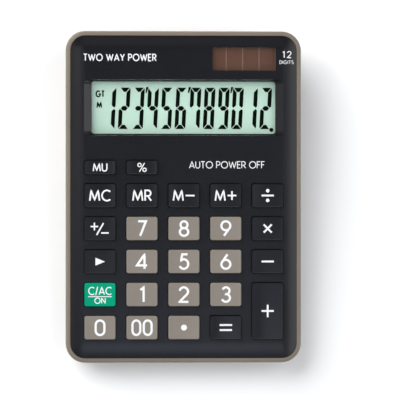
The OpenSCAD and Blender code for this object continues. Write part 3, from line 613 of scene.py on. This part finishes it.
def add_words(shapes, words, height, width, middle, foot, surface, spacing=1.0, wide=1.0):
    """Adds printed words. Each stroke lies a hair above the last, where they cross."""
    reach = height - width
    box = Vector((reach * wide, reach))
    gap = spacing * (letter_gap * reach + width)
    sizes = [max(p.x for s in letters[c] for p in drawn(s)[0]) * box.x for c in words]
    at = middle - (sum(sizes) + gap * (len(words) - 1)) / 2
    for character, size in zip(words, sizes):
        for order, stroke in enumerate(letters[character] if character != " " else []):
            points, loops = drawn(stroke)
            points = [Vector((at, foot + width / 2)) + p * box for p in points]
            add_stroke(shapes, points, loops, width, surface, ink_t + order * ink_step)
        at += size + gap


ink_white = moulded(
    "ink_white", (0.78, 0.78, 0.78), (0.88, 0.88, 0.88), 0.45, 0.002, 6000.0, 60.0
)
solar_low, solar_high = face_span("solar_window")
solar_middle = (solar_low + solar_high) / 2
count_u = solar_high.x + 4 * mm
auto_off_at = Vector((18.9 * mm, 12.4 * mm))
# Words, their height, stroke, middle and foot, and how much closer and narrower they are
face_words = [
    ("TWO WAY POWER", 3.3 * mm, 0.48 * mm, display_left + 12.3 * mm,
     solar_middle.y - 1.1 * mm, 0.75, 0.9),
    ("12", 3.1 * mm, 0.4 * mm, count_u, solar_middle.y + 0.4 * mm, 1.7, 1),
    ("DIGITS", 1.6 * mm, 0.2 * mm, count_u - 0.2 * mm, solar_middle.y - 2.2 * mm, 1.05, 1),
    ("AUTO POWER OFF", 3.2 * mm, 0.35 * mm, auto_off_at.x, auto_off_at.y, 0.75, 0.995),
]
display_words = [
    ("GT", 3.1 * mm, 0.62 * mm, display_left + 3.8 * mm, display_centre.y + 4.5 * mm, 0.6, 0.76),
    ("M", 3.1 * mm, 0.58 * mm, display_left + 3.4 * mm, display_centre.y - 0.25 * mm, 1, 0.8),
]


def face_level(x, y):
    """The height of the face, where its printing lies."""
    return 0.0


face_ink = bmesh.new()
for words, height, width, middle, foot, spacing, wide in face_words:
    add_words(face_ink, words, height, width, middle, foot, face_level, spacing, wide)
face_print = laid_on_face("face_print", face_ink, ink_white, "casing")

sign_ink = bmesh.new()
for words, height, width, middle, foot, spacing, wide in display_words:
    add_words(sign_ink, words, height, width, middle, foot, film_level, spacing, wide)
display_signs = laid_on_face("display_signs", sign_ink, crystal_black, "casing")

# ---------------------------------------------------------------------------------------
# The solar cell: a clear window over a glass plate with four brown strips of amorphous
# silicon, kept apart by scribed lines that show the paler metal behind them.
scribe = 0.42 * mm
strip_pitch = 7.2 * mm
strip_shift = -0.55 * mm
silicon, tree, shader, where = new_material("silicon_strips", 0.28)
across = add_node(tree, "SeparateXYZ", {"Vector": where})
from_middle = add_node(tree, "Math", {0: across.outputs["X"], 1: solar_middle.x + strip_shift},
                       operation="SUBTRACT")
# Counts up and down from the middle line, so each scribed line is where it turns or returns
to_line = add_node(tree, "Math", {0: from_middle.outputs[0], 1: strip_pitch / 2},
                   operation="PINGPONG")
nearest = add_node(tree, "MapRange", {
    "Value": to_line.outputs[0], "From Min": 0.3 * scribe, "From Max": 0.7 * scribe,
    "To Min": 1.0, "To Max": 0.0,
})
surface = add_node(tree, "Group", {"Vector": where, "Tone Scale": 160.0}, node_tree=grain)
brown = tones(tree, surface.outputs["Tone"], (0.1, 0.047, 0.03), (0.117, 0.056, 0.036), 0.3, 0.7)
strips = add_node(tree, "Mix", {
    0: nearest.outputs[0], 6: brown, 7: (0.23, 0.145, 0.11, 1),
}, data_type="RGBA")
tree.links.new(strips.outputs[2], shader.inputs["Base Color"])
dress("solar_cell", silicon)
solar_acrylic = clear_sheet("solar_acrylic", (0.96, 0.95, 0.94), 0.02, 0.06)
dress("solar_window", solar_acrylic)

# ---------------------------------------------------------------------------------------
# The keys: hollow ABS caps with a dished top, a flange that keeps them under the face, and
# a stem over a rubber dome. Number keys are grey, the clear key green, the others black.
flange_w = 0.8 * mm
flange_t = 1 * mm
stem_l = 1.1 * mm
stem_r = 1.8 * mm
cap_wall = 1.2 * mm
cap_r = 0.9 * mm
dish = 0.35 * mm
dish_strips = 14
rim_round = 0.28 * mm
rim_steps = 3
corner_steps = 6
stem_sides = 24
level = 0.9
steep = 0.3
hair = 0.001 * mm
key_depth = 0.008
key_grain = 3200.0


def pick(piece, kind, test):
    """In edit mode, selects only the faces or edges that pass a test."""
    bpy.ops.mesh.select_mode(type={"faces": "FACE", "edges": "EDGE"}[kind])
    bpy.ops.mesh.select_all(action="DESELECT")
    shape = bmesh.from_edit_mesh(piece.data)
    for part in getattr(shape, kind):
        if test(part):
            part.select_set(True)
    bmesh.update_edit_mesh(piece.data)


def upright(edge):
    """True of a corner edge of the flange, before the cap rises from it."""
    return abs(edge.verts[0].co.z - edge.verts[1].co.z) > flange_t / 2


def faces_out(face):
    """True of a face that looks out of the keyboard."""
    return face.normal.z > level


def faces_in(face):
    """True of a face that looks into the casing."""
    return face.normal.z < -level


def is_rim(edge, rim):
    """True of an edge where the dished top meets a side."""
    if len(edge.link_faces) != 2 or min(v.co.z for v in edge.verts) < rim - 2 * dish:
        return False
    rises = sorted(abs(face.normal.z) for face in edge.link_faces)
    return rises[0] < steep and rises[1] > level


def key_cap(name, width, length, foot, rim):
    """One key, drawn in the face's frame with its middle at zero."""
    flange_foot = foot + stem_l
    bpy.ops.mesh.primitive_cube_add(size=1, location=(0, 0, flange_foot + flange_t / 2))
    cap = bpy.context.object
    cap.name = name
    cap.scale = (width + 2 * flange_w, length + 2 * flange_w, flange_t)
    only(cap)
    bpy.ops.object.transform_apply(location=True, rotation=True, scale=True)
    bpy.ops.object.mode_set(mode="EDIT")
    pick(cap, "edges", upright)
    bpy.ops.mesh.bevel(offset=cap_r + flange_w, segments=corner_steps, affect="EDGES")
    # The cap rises from the flange
    pick(cap, "faces", faces_out)
    bpy.ops.mesh.inset(thickness=flange_w)
    bpy.ops.mesh.extrude_region_move(
        TRANSFORM_OT_translate={"value": (0, 0, rim - flange_foot - flange_t)}
    )
    # Its underside is cored out
    pick(cap, "faces", faces_in)
    bpy.ops.mesh.inset(thickness=flange_w + cap_wall)
    bpy.ops.mesh.extrude_region_move(
        TRANSFORM_OT_translate={"value": (0, 0, rim - dish - cap_wall - flange_foot)}
    )
    # The top is cut in strips, which then sink into the dish
    for i in range(1, dish_strips):
        pick(cap, "faces", lambda f: faces_out(f) and f.calc_center_median().z > rim - hair)
        bpy.ops.mesh.bisect(
            plane_co=((i / dish_strips - 0.5) * width, 0, 0), plane_no=(1, 0, 0)
        )
    shape = bmesh.from_edit_mesh(cap.data)
    for point in shape.verts:
        if point.co.z > rim - hair:
            point.co.z -= dish * (1 - (2 * point.co.x / width) ** 2)
    shape.normal_update()
    bmesh.update_edit_mesh(cap.data)
    pick(cap, "edges", lambda e: is_rim(e, rim))
    bpy.ops.mesh.bevel(offset=rim_round, segments=rim_steps, affect="EDGES")
    bpy.ops.mesh.select_all(action="DESELECT")
    stem_top = rim - dish - cap_wall / 2
    bpy.ops.mesh.primitive_cylinder_add(
        vertices=stem_sides, radius=stem_r, depth=stem_top - foot,
        location=(0, 0, (stem_top + foot) / 2)
    )
    bpy.ops.mesh.select_all(action="SELECT")
    bpy.ops.mesh.normals_make_consistent(inside=False)
    soften(cap, 0)
    return cap


black_key = moulded("black_key", (0.0085, 0.0085, 0.0105), (0.011, 0.011, 0.0135), 0.2,
                    key_depth, key_grain)
grey_key = moulded("grey_key", (0.22, 0.192, 0.164), (0.245, 0.215, 0.184), 0.5,
                   key_depth, key_grain)
green_key = moulded("green_key", (0.0002, 0.28, 0.15), (0.0004, 0.31, 0.17), 0.5,
                    key_depth, key_grain)
for finish, shine in ((grey_key, 0.25), (green_key, 0.1)):
    finish.node_tree.nodes["Principled BSDF"].inputs["Specular IOR Level"].default_value = shine
key_finish = {"black_key": black_key, "grey_key": grey_key, "green_key": green_key}
key_nodes = [n for n in frame["nodes"] if n.startswith("key_") and n != "key_mat"]
key_middle = {}
key_sizes = {}
rims = {}
caps = {}
for node in key_nodes:
    low, high = face_span(node)
    size = high - low
    key_middle[node] = (low + high) / 2
    rims[node] = high.z
    key_sizes[node] = (size.x - 2 * flange_w, size.y - 2 * flange_w)
    length = round(size.y / mm, 1)
    if length not in caps:
        caps[length] = key_cap("cap_pattern", *key_sizes[node], low.z, high.z)
    mesh = caps[length].data.copy()
    mesh.transform(laid @ Matrix.Translation((key_middle[node].x, key_middle[node].y, 0)))
    mesh.materials.append(key_finish[slots[node]])
    cap = bpy.data.objects.new(node + "_cap", mesh)
    bpy.context.scene.collection.objects.link(cap)
    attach(cap, node)
    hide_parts(node)
for pattern in caps.values():
    bpy.data.objects.remove(pattern)

# ---------------------------------------------------------------------------------------
# The key legends, in the same white ink. Each follows the dish of its own key, so it is
# drawn round the key's middle and moves with the key.
number_h = 7.3 * mm
number_w = 0.98 * mm
word_h = 5.2 * mm
word_w = 0.7 * mm
sign_l = 5.4 * mm
sign_w = 0.8 * mm
slash_w = 0.64 * mm
half_line = 5.2 * mm
line_w = 0.34 * mm
line_v = -0.85 * mm
cross = 1.75 * mm
bars_apart = 1.1 * mm
dot_sides = 28
point_key_r = 1.3 * mm
divide_r = 0.78 * mm
divide_v = 2.1 * mm
close_set = 0.8


def centred(words, height, width, wide=1):
    """Words round a key's middle: height, stroke, foot, and how close and narrow they are."""
    return [(words, height, width, -height / 2, close_set, wide)]


words_on = {
    "key_mu": centred("MU", 3.8 * mm, 0.52 * mm), "key_percent": centred("%", 4.1 * mm, 0.44 * mm),
    "key_mc": centred("MC", word_h, word_w), "key_mr": centred("MR", word_h, word_w),
    "key_m_minus": centred("M-", word_h, word_w), "key_m_plus": centred("M+", word_h, word_w),
    "key_00": centred("00", number_h, number_w, 0.9),
    "key_clear": [("C/AC", 3.65 * mm, 0.46 * mm, -0.2 * mm, 0.7, 0.93),
                  ("ON", 2.8 * mm, 0.42 * mm, -4 * mm, close_set, 1)],
}
for number in "0123456789":
    words_on["key_" + number] = centred(number, number_h, number_w)
level_bar = [(-sign_l / 2, 0), (sign_l / 2, 0)]
upright_bar = [(0, -sign_l / 2), (0, sign_l / 2)]
plus_and_minus = [
    [(-4.1 * mm, 0.9 * mm), (-0.8 * mm, 0.9 * mm)],
    [(-2.45 * mm, -0.75 * mm), (-2.45 * mm, 2.55 * mm)],
    [(-1.5 * mm, -2.8 * mm), (1.5 * mm, 2.4 * mm)],
    [(0.5 * mm, -1.9 * mm), (3.8 * mm, -1.9 * mm)],
]
strokes_on = {
    "key_divide": (sign_w, [level_bar]),
    "key_minus": (sign_w, [level_bar]),
    "key_plus": (sign_w, [level_bar, upright_bar]),
    "key_equals": (sign_w, [[(x, y) for x, _ in level_bar] for y in (bars_apart, -bars_apart)]),
    "key_multiply": (sign_w, [[(-cross, y), (cross, -y)] for y in (-cross, cross)]),
    "key_sign": (slash_w, plus_and_minus),
    "key_clear": (line_w, [[(-half_line, line_v), (half_line, line_v)]]),
}
plates_on = {
    "key_point": [round_outline(0, 0, point_key_r, dot_sides)],
    "key_divide": [round_outline(0, y, divide_r, dot_sides) for y in (divide_v, -divide_v)],
    "key_backspace": [[(-2 * mm, -1.7 * mm), (2.2 * mm, 0), (-2 * mm, 1.7 * mm)]],
}
for node in key_nodes:
    middle = key_middle[node]
    width = key_sizes[node][0]

    def dished(x, y, at=middle.x, rim=rims[node], width=width):
        return rim - dish * (1 - (2 * (x - at) / width) ** 2)

    legend = bmesh.new()
    for words, height, stroke_w, foot, spacing, wide in words_on.get(node, []):
        add_words(legend, words, height, stroke_w, middle.x, middle.y + foot, dished, spacing,
                  wide)
    stroke_w, strokes = strokes_on.get(node, (0, []))
    for order, stroke in enumerate(strokes):
        points = [Vector((middle.x + x, middle.y + y)) for x, y in stroke]
        add_stroke(legend, points, False, stroke_w, dished, ink_t + order * ink_step)
    for plate in plates_on.get(node, []):
        outline = [(middle.x + x, middle.y + y) for x, y in plate]
        add_plate(legend, outline, dished, -ink_root, ink_t)
    printed = laid_on_face(node + "_legend", legend, ink_white, node)

# ---------------------------------------------------------------------------------------
# Under the keys: a silicone rubber mat with a dome for each key, which buckles as the key
# goes down and springs it back, over a green board that carries the contacts and tracks.
dome_h = 2.4 * mm
dome_r = 3.25 * mm
dome_top_r = 2.3 * mm
dome_wall = 0.7 * mm
dome_foot = 0.05 * mm
dome_round = 0.5 * mm
dome_steps = 3
dome_sides = 32
dome_smooth = math.radians(35)
mat_top = face_span("key_mat")[1].z - dome_h
mat_rubber = moulded("mat_rubber", (0.5, 0.5, 0.46), (0.58, 0.58, 0.54), 0.6, 0.01, 1500.0)
sheet = joined("mat_sheet", "key_mat", mat_rubber)
bpy.ops.mesh.bisect(
    plane_co=laid @ Vector((0, 0, mat_top + dome_foot)), plane_no=w_axis,
    use_fill=True, clear_outer=True
)
bpy.ops.object.mode_set(mode="OBJECT")
bpy.ops.object.shade_smooth_by_angle(angle=smooth)
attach(sheet, "casing")

bpy.ops.mesh.primitive_cone_add(
    vertices=dome_sides, radius1=dome_r, radius2=dome_top_r, depth=dome_h,
    location=(0, 0, mat_top + dome_foot + dome_h / 2)
)
dome_pattern = bpy.context.object
only(dome_pattern)
bpy.ops.object.transform_apply(location=True, rotation=True, scale=True)
bpy.ops.object.mode_set(mode="EDIT")
pick(dome_pattern, "faces", faces_in)
bpy.ops.mesh.delete(type="FACE")
pick(dome_pattern, "faces", faces_out)
bpy.ops.mesh.bevel(offset=dome_round, segments=dome_steps, affect="EDGES")
bpy.ops.object.mode_set(mode="OBJECT")
skin = dome_pattern.modifiers.new("wall", "SOLIDIFY")
skin.thickness = dome_wall
skin.offset = -1
bpy.ops.object.modifier_apply(modifier=skin.name)
bpy.ops.object.shade_smooth_by_angle(angle=dome_smooth)
for node in key_nodes:
    mesh = dome_pattern.data.copy()
    mesh.transform(laid @ Matrix.Translation(
        (key_middle[node].x, key_middle[node].y, -dome_foot)
    ))
    mesh.materials.append(mat_rubber)
    dome = bpy.data.objects.new(node + "_dome", mesh)
    bpy.context.scene.collection.objects.link(dome)
    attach(dome, "casing")
    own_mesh(dome)
bpy.data.objects.remove(dome_pattern)
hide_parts("key_mat")

board, tree, shader, where = new_material("board_green", 0.35)
tracks = add_node(tree, "TexBrick", {
    "Vector": where, "Scale": 260.0, "Mortar Size": 0.16, "Mortar Smooth": 0.2,
    "Color1": (0.012, 0.115, 0.035, 1), "Color2": (0.015, 0.13, 0.04, 1),
    "Mortar": (0.03, 0.2, 0.07, 1),
})
weave = add_node(tree, "TexNoise", {"Vector": where, "Scale": 900.0, "Detail": 2.0})
relief = add_node(tree, "Math", {0: tracks.outputs["Fac"], 1: weave.outputs[0]},
                  operation="ADD")
raised = add_node(tree, "Bump", {"Height": relief.outputs[0], "Distance": 0.03 * mm,
                                "Strength": 0.5})
tree.links.new(tracks.outputs["Color"], shader.inputs["Base Color"])
tree.links.new(raised.outputs["Normal"], shader.inputs["Normal"])
dress("circuit_board", board)
chip_resin = moulded("chip_resin", (0.006, 0.006, 0.006), (0.012, 0.012, 0.012), 0.22, 0.03, 500.0)
dress("chip_cover", chip_resin)
sleeve, tree, shader, where = new_material("capacitor_sleeve", 0.3)
along = add_node(tree, "SeparateXYZ", {"Vector": where})
print_noise = add_node(tree, "TexNoise", {"Vector": where, "Scale": 1200.0, "Detail": 3.0})
sleeve_low, sleeve_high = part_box("storage_capacitor")
band_from = (sleeve_low[1] + sleeve_high[1]) / 2 + 1 * mm
band_edge = 0.1 * mm
band = add_node(tree, "MapRange", {
    "Value": along.outputs["Y"], "From Min": band_from, "From Max": band_from + band_edge,
})
blue = tones(tree, print_noise.outputs[0], (0.01, 0.02, 0.12), (0.016, 0.035, 0.17))
striped = add_node(tree, "Mix", {
    0: band.outputs[0], 6: blue, 7: (0.5, 0.55, 0.6, 1),
}, data_type="RGBA")
tree.links.new(striped.outputs[2], shader.inputs["Base Color"])
dress("storage_capacitor", sleeve)

# ---------------------------------------------------------------------------------------
# The small inner pieces: the display's retainer and its amber ribbon, the leads, and the
# nickel-plated contacts and the steel button cell, held by small steel screws.
retainer_abs = moulded("retainer_abs", (0.02, 0.02, 0.022), (0.03, 0.03, 0.033), 0.45)
dress("lcd_retainer", retainer_abs)
amber_film, tree, shader, where = new_material("amber_film", 0.3)
lines = add_node(tree, "TexWave", {"Vector": where, "Scale": 320.0, "Distortion": 0.0},
                 bands_direction="X")
amber = tones(tree, lines.outputs["Fac"], (0.42, 0.19, 0.03), (0.2, 0.17, 0.14))
tree.links.new(amber, shader.inputs["Base Color"])
dress("lcd_ribbon", amber_film)


def paired_leads(name, node):
    """Insulation for a red lead and a black one, told apart by the side they lie on."""
    made, tree, shader, where = new_material(name, 0.45)
    low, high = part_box(node)
    side = add_node(tree, "SeparateXYZ", {"Vector": where})
    right = add_node(tree, "Math", {0: side.outputs["X"], 1: (low[0] + high[0]) / 2},
                     operation="GREATER_THAN")
    surface = add_node(tree, "Group", {"Vector": where, "Tone Scale": 300.0}, node_tree=grain)
    red = tones(tree, surface.outputs["Tone"], (0.42, 0.012, 0.01), (0.55, 0.025, 0.02))
    pair = add_node(tree, "Mix", {
        0: right.outputs[0], 6: (0.012, 0.012, 0.013, 1), 7: red,
    }, data_type="RGBA")
    tree.links.new(pair.outputs[2], shader.inputs["Base Color"])
    dress(node, made)


paired_leads("solar_lead_pvc", "solar_leads")
paired_leads("battery_lead_pvc", "battery_leads")


def metal(name, dark, light, bright, dull, scale, stretch):
    """Bare or plated metal: a fine drawn or turned grain that runs one way."""
    made, tree, shader, where = new_material(name, bright)
    shader.inputs["Metallic"].default_value = 1
    drawn_out = add_node(tree, "Mapping", {"Vector": where, "Scale": stretch})
    lines = add_node(tree, "TexNoise", {
        "Vector": drawn_out.outputs[0], "Scale": scale, "Detail": 4.0,
    })
    colour = tones(tree, lines.outputs[0], dark, light)
    roughness = add_node(tree, "MapRange", {
        "Value": lines.outputs[0], "To Min": bright, "To Max": dull,
    })
    scored = add_node(tree, "Bump", {
        "Height": lines.outputs[0], "Distance": 0.01 * mm, "Strength": 0.3,
    })
    tree.links.new(colour, shader.inputs["Base Color"])
    tree.links.new(roughness.outputs[0], shader.inputs["Roughness"])
    tree.links.new(scored.outputs["Normal"], shader.inputs["Normal"])
    return made


cell_steel = metal("cell_steel", (0.55, 0.55, 0.54), (0.66, 0.66, 0.65), 0.18, 0.34, 900.0,
                   (1, 8, 1))
nickel = metal("contact_nickel", (0.58, 0.54, 0.46), (0.7, 0.66, 0.58), 0.2, 0.32, 1500.0,
               (6, 1, 1))
screw_steel = metal("screw_steel", (0.5, 0.5, 0.51), (0.64, 0.64, 0.65), 0.2, 0.36, 2500.0,
                    (1, 1, 5))
black_zinc = metal("black_zinc", (0.03, 0.03, 0.033), (0.06, 0.06, 0.064), 0.3, 0.45, 2500.0,
                   (1, 1, 5))
dress("battery_cell", cell_steel)
dress("battery_contact_positive", nickel)
dress("battery_contact_negative", nickel)
dress("inner_screws", screw_steel)
dress("case_screws", black_zinc)

# ---------------------------------------------------------------------------------------
# The base: a battery door of the same taupe ABS that slides out to the rear on two tongues,
# and four black rubber feet pressed into round seats.
door_edge = 0.1 * mm
foot_edge = 0.2 * mm
finished("battery_door", taupe_abs, "battery_door", door_edge)
foot_rubber = moulded("foot_rubber", (0.012, 0.012, 0.012), (0.022, 0.022, 0.022), 0.7, 0.03,
                      1800.0)
for corner in ("front_left", "front_right", "rear_left", "rear_right"):
    finished("foot_" + corner, foot_rubber, "casing", foot_edge)
